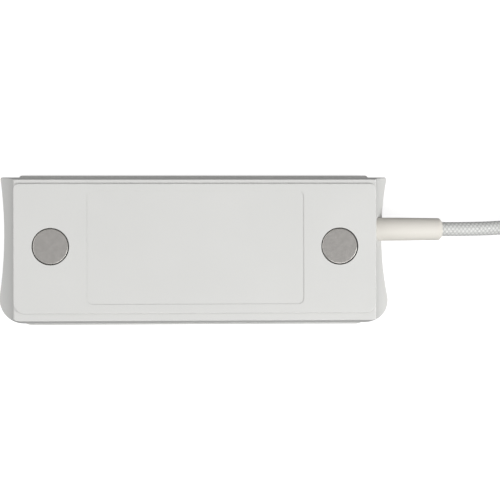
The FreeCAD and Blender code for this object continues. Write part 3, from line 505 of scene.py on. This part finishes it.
def rounded(corners):
    """An outline of (along, radius, rounding) corners, with an arc at each rounded one."""
    outline = []
    for i, (x, r, rounding) in enumerate(corners):
        spot = Vector((x, r))
        if rounding == 0:
            outline.append(spot)
            continue
        before = Vector(corners[i - 1][:2]) - spot
        after = Vector(corners[(i + 1) % len(corners)][:2]) - spot
        back, ahead = before.normalized(), after.normalized()
        corner = back.angle(ahead)
        longest = 0.49 * min(before.length, after.length)
        setback = min(rounding / math.tan(corner / 2), longest)
        radius = setback * math.tan(corner / 2)
        middle = spot + (back + ahead).normalized() * (radius / math.sin(corner / 2))
        start = spot + back * setback - middle
        sweep = start.angle_signed(spot + ahead * setback - middle)
        for step in range(ARC_STEPS + 1):
            turned = start.copy()
            turned.rotate(Matrix.Rotation(-sweep * step / ARC_STEPS, 2))
            outline.append(middle + turned)
    return outline


def lathed(name, corners, place, closed=False, sides=TURNED_SIDES):
    """A piece turned about its own X axis. A closed outline makes a ring, an open one ends on the axis."""
    mesh = bmesh.new()
    rings = []
    for spot in rounded(corners):
        if spot.y < ON_AXIS:
            rings.append([mesh.verts.new((spot.x * MM, 0, 0))])
            continue
        ring = []
        for side in range(sides):
            angle = 2 * math.pi * side / sides
            y, z = spot.y * math.cos(angle), spot.y * math.sin(angle)
            ring.append(mesh.verts.new((spot.x * MM, y * MM, z * MM)))
        rings.append(ring)
    pairs = list(zip(rings, rings[1:]))
    if closed:
        pairs.append((rings[-1], rings[0]))
    for first, second in pairs:
        for side in range(sides):
            spots = [(first, side), (first, side + 1), (second, side + 1), (second, side)]
            face = dict.fromkeys(ring[i % len(ring)] for ring, i in spots)
            mesh.faces.new(list(face))
    bmesh.ops.recalc_face_normals(mesh, faces=mesh.faces)
    obj = as_object(name, mesh, TURNED_SHARP)
    obj.matrix_world = place
    return obj


# Outlines are (along the axis, radius, rounding of that corner).
BOOT_BORE = 1.92
BOOT_OUTLINE = [
    (43.9, BOOT_BORE, 0),
    (43.9, 2.9, 0.2),
    (45.85, 2.9, 0.2),
    (45.85, 2.4, 0),
    (47.62, 2.4, 0),
    (47.62, 3.17, 0.1),
    (56.0, 3.12, 0),
    (66.5, 2.98, 0.3),
    (BOOT_END, 2.05, 0.2),
    (BOOT_END, BOOT_BORE, 0),
]
BOOT_PLACE = Matrix.Translation((0, CABLE_Y * MM, CABLE_Z * MM))

boot = lathed("lead_boot", BOOT_OUTLINE, BOOT_PLACE, closed=True)
dress(boot, "boot_white", "strain_relief")

MAGNET_X = 38.73
MAGNET_Y = 0.95
MAGNET_TOP = 15.35
MAGNET_R = 4.75
MAGNET_FLAT_R = 4.3
MAGNET_SIDES = 128
MAGNET_OUTLINE = [
    (-2.0, 0, 0),
    (-2.0, MAGNET_R, 0.3),
    (0, MAGNET_R, 0.35),
    (0, MAGNET_FLAT_R, 0),
    (0, 0, 0),
]


def make_magnet(name, x, node):
    """A plated disc with a rolled edge, its flat face just below the plate."""
    place = Matrix.Translation(Vector((x, MAGNET_Y, MAGNET_TOP)) * MM)
    upright = place @ Matrix.Rotation(-math.pi / 2, 4, "Y")
    dress(lathed(name, MAGNET_OUTLINE, upright, sides=MAGNET_SIDES), "magnet_plating", node)


make_magnet("magnet_disc_left", -MAGNET_X, "mounting_magnet_left")
make_magnet("magnet_disc_right", MAGNET_X, "mounting_magnet_right")

PLUG_HEADING = math.radians(-3)
PLUG_PLACE = Matrix.Translation(Vector(TAIL_ROUTE[-1]) * MM) @ Matrix.Rotation(PLUG_HEADING, 4, "Z")
PLUG_BOOT_END = 8.5
PLUG_END = 22.5
RIB_COUNT = 5
RIB_START = 1.0
RIB_PITCH = 1.45
RIB_GROOVE = 0.35
GRIP_OUTLINE = [
    (PLUG_BOOT_END, 0, 0),
    (PLUG_BOOT_END, 3.3, 0.9),
    (9.5, 3.95, 1.2),
    (11.0, 4.0, 0),
    (18.4, 4.0, 0.25),
    (18.7, 3.75, 0.2),
    (19.2, 3.75, 0.2),
    (19.5, 4.0, 0.25),
    (20.9, 4.0, 0.5),
    (21.3, 3.3, 0.15),
    (PLUG_END, 3.3, 0.35),
    (PLUG_END, 0, 0),
]


def plug_boot_outline():
    """A soft sleeve with shallow ribs, widening towards the grip."""
    corners = [(0, 0, 0), (0, 2.35, 0.3)]
    for rib in range(RIB_COUNT):
        start = RIB_START + rib * RIB_PITCH
        radius = 2.3 + 0.11 * rib
        corners += [
            (start, radius, 0.15),
            (start + 0.3, radius - RIB_GROOVE, 0.12),
            (start + 0.65, radius - RIB_GROOVE, 0.12),
            (start + 0.95, radius + 0.08, 0.15),
        ]
    return corners + [(PLUG_BOOT_END, 2.9, 0), (PLUG_BOOT_END, 0, 0)]


plug_boot = lathed("plug_sleeve_boot", plug_boot_outline(), PLUG_PLACE)
dress(plug_boot, "boot_white", "plug_boot")
grip = lathed("plug_grip_body", GRIP_OUTLINE, PLUG_PLACE)
dress(grip, "plug_white", "plug_grip")

TIE_WIDTH = 9.0
TIE_TURN = math.radians(-60)
TIE_CORNER = 1.9
TIE_CORNER_STEPS = 8
TIE_STEP = 1.2
TIE_THICK = 0.45
TIE_CROWN = 0.12
TIE_ACROSS = 9


def tie_line():
    """The strap's closed line round the coil's section, as (distance from the coil's axis, height)."""
    half_long = (COIL_OUTER - COIL_INNER) / 2 + CABLE_D / 2
    middle = (COIL_OUTER + COIL_INNER) / 2
    low = COIL_FLOOR - CABLE_D / 2
    high = low + COIL_LAYERS * CABLE_D
    outline = []
    for x, z, start in (
        (middle + half_long - TIE_CORNER, high - TIE_CORNER, 0),
        (middle - half_long + TIE_CORNER, high - TIE_CORNER, 90),
        (middle - half_long + TIE_CORNER, low + TIE_CORNER, 180),
        (middle + half_long - TIE_CORNER, low + TIE_CORNER, 270),
    ):
        for step in range(TIE_CORNER_STEPS + 1):
            angle = math.radians(start + 90 * step / TIE_CORNER_STEPS)
            outline.append(Vector((x, z)) + Vector((math.cos(angle), math.sin(angle))) * TIE_CORNER)
    line = []
    for i, spot in enumerate(outline):
        following = outline[(i + 1) % len(outline)]
        pieces = max(1, round((following - spot).length / TIE_STEP))
        line += [spot.lerp(following, step / pieces) for step in range(pieces)]
    return line


def tie_vertices(mesh, line):
    """The strap's inner and outer skin, bent round the coil's axis and thinner at the edges."""
    grid = {}
    for i, spot in enumerate(line):
        heading = (line[(i + 1) % len(line)] - line[i - 1]).normalized()
        outwards = Vector((heading.y, -heading.x))
        for k in range(TIE_ACROSS):
            aside = (k / (TIE_ACROSS - 1) - 0.5) * TIE_WIDTH
            edge = abs(aside) / (TIE_WIDTH / 2)
            thick = TIE_THICK * (0.75 + 0.25 * (1 - edge ** 8)) + TIE_CROWN * (1 - edge ** 6)
            for skin, lift in enumerate((0.0, thick)):
                radius, z = spot + outwards * lift
                bend = aside / radius
                x, y = radius * math.cos(bend), radius * math.sin(bend)
                grid[i, k, skin] = mesh.verts.new((x * MM, y * MM, z * MM))
    return grid


def make_tie():
    """A woven strap round the coil's section: a band with soft corners."""
    mesh = bmesh.new()
    line = tie_line()
    grid = tie_vertices(mesh, line)
    for i in range(len(line)):
        j = (i + 1) % len(line)
        for k in range(TIE_ACROSS - 1):
            mesh.faces.new([grid[i, k, 1], grid[j, k, 1], grid[j, k + 1, 1], grid[i, k + 1, 1]])
            mesh.faces.new([grid[i, k, 0], grid[i, k + 1, 0], grid[j, k + 1, 0], grid[j, k, 0]])
        for k in (0, TIE_ACROSS - 1):
            rim = [grid[i, k, 0], grid[j, k, 0], grid[j, k, 1], grid[i, k, 1]]
            mesh.faces.new(rim[::-1] if k else rim)
    bmesh.ops.recalc_face_normals(mesh, faces=mesh.faces)
    obj = as_object("coil_strap", mesh)
    centre = Matrix.Translation((COIL_CENTRE[0] * MM, COIL_CENTRE[1] * MM, 0))
    obj.matrix_world = centre @ Matrix.Rotation(TIE_TURN, 4, "Z")
    return dress(obj, "tie_strap", "coil_tie")


tie = make_tie()

# ---------------------------------------------------------------- floor and light

FLOOR_HALF_M = 3.0
FLOOR_DROP_M = 0.0001
FLOOR_COLOUR = (0.45, 0.45, 0.45)
FLOOR_GLOW = 0.78
DOME_TOP = 0.56
DOME_HORIZON = 0.25
DOME_RISE = (0.05, 0.8)
WHITE = (1.0, 1.0, 1.0)
LAMP_DISTANCE_M = 0.9


def make_floor():
    """A white table with its own glow, which doesn't light the object or show in its gloss."""
    half = FLOOR_HALF_M
    data = bpy.data.meshes.new("floor")
    corners = [(-half, -half, 0), (half, -half, 0), (half, half, 0), (-half, half, 0)]
    data.from_pydata(corners, [], [(0, 1, 2, 3)])
    floor = bpy.data.objects.new("floor", data)
    SCENE.collection.objects.link(floor)
    floor.location.z = -FLOOR_DROP_M
    floor.visible_diffuse = False
    floor.visible_glossy = False
    g = Graph("floor")
    g.set(colour=FLOOR_COLOUR, rough=0.9, specular=0.0)
    g.put(g.shader.inputs["Emission Color"], WHITE)
    g.put(g.shader.inputs["Emission Strength"], FLOOR_GLOW)
    data.materials.append(g.material)


def lamp(name, azimuth, elevation, size, power):
    """A round soft light that looks at the object, with its size in metres.

    Azimuth 0 is along +X and 90 along +Y, in degrees.
    """
    data = bpy.data.lights.new(name, "AREA")
    data.shape = "DISK"
    data.size = size
    data.energy = power
    light = bpy.data.objects.new(name, data)
    SCENE.collection.objects.link(light)
    a, e = math.radians(azimuth), math.radians(elevation)
    towards = Vector((math.cos(a) * math.cos(e), math.sin(a) * math.cos(e), math.sin(e)))
    light.location = towards * LAMP_DISTANCE_M
    light.rotation_mode = "QUATERNION"
    light.rotation_quaternion = (-light.location).to_track_quat("-Z", "Y")


def light_scene():
    """A soft dome, darker towards the horizon, a lamp at each end and a small one above."""
    world = bpy.data.worlds.new("studio")
    SCENE.world = world
    world.use_nodes = True
    tree = world.node_tree
    back = tree.nodes["Background"]
    back.inputs["Color"].default_value = (*WHITE, 1.0)
    spot = tree.nodes.new("ShaderNodeTexCoord")
    split = tree.nodes.new("ShaderNodeSeparateXYZ")
    span = tree.nodes.new("ShaderNodeMapRange")
    low, high = DOME_RISE
    ends = {"From Min": low, "From Max": high, "To Min": DOME_HORIZON, "To Max": DOME_TOP}
    for key, number in ends.items():
        span.inputs[key].default_value = number
    tree.links.new(spot.outputs["Generated"], split.inputs[0])
    tree.links.new(split.outputs[2], span.inputs["Value"])
    tree.links.new(span.outputs[0], back.inputs["Strength"])
    lamp("right", azimuth=-22, elevation=33, size=0.5, power=5.7)
    lamp("left", azimuth=174, elevation=30, size=1.2, power=4.2)
    lamp("over", azimuth=-68, elevation=63, size=0.5, power=1.2)
    SCENE.view_settings.view_transform = "Standard"
    SCENE.view_settings.look = "None"


make_floor()
light_scene()

bpy.context.view_layer.update()
